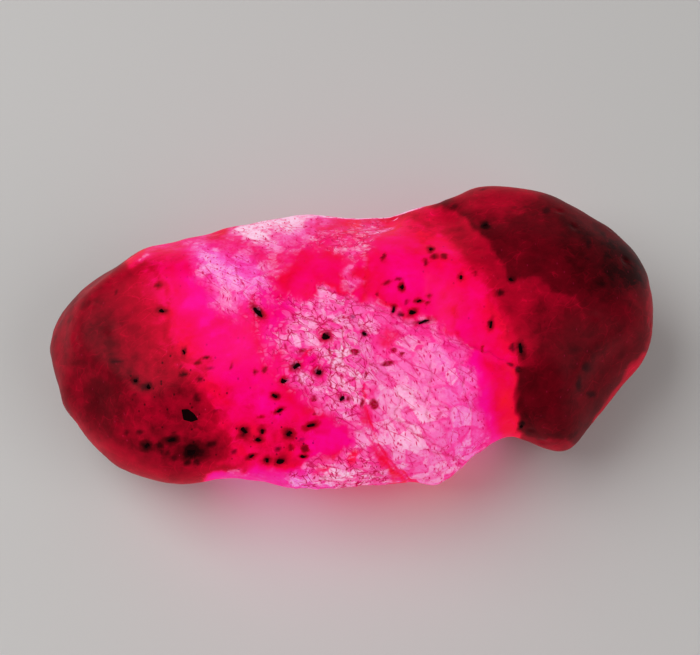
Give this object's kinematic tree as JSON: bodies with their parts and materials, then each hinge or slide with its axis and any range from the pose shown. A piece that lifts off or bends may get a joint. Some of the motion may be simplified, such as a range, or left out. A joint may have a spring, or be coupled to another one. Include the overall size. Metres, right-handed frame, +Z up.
{
  "type": "raw ruby crystal",
  "caption": "Waterworn, chipped piece of raw ruby: a flattened translucent red stone that lies on a flat parting face, with a ledge, an open crack and dark inclusions.",
  "frame": {"origin": "on the surface that the stone lies on, under the middle of its bounding box", "axes": "+X along the stone's length towards its broad lobe, +Y away from the broken front, +Z up from the parting face that it lies on"},
  "size_m": [0.0502, 0.0262, 0.0145],
  "materials": {
    "ruby": "translucent waterworn corundum, satin, with partings and cloudy fissures",
    "dark_inclusion": "opaque black mineral grains grown into the stone"
  },
  "bodies": {
    "root": {"ruby_crystal": "ruby"}
  },
  "joints": []
}
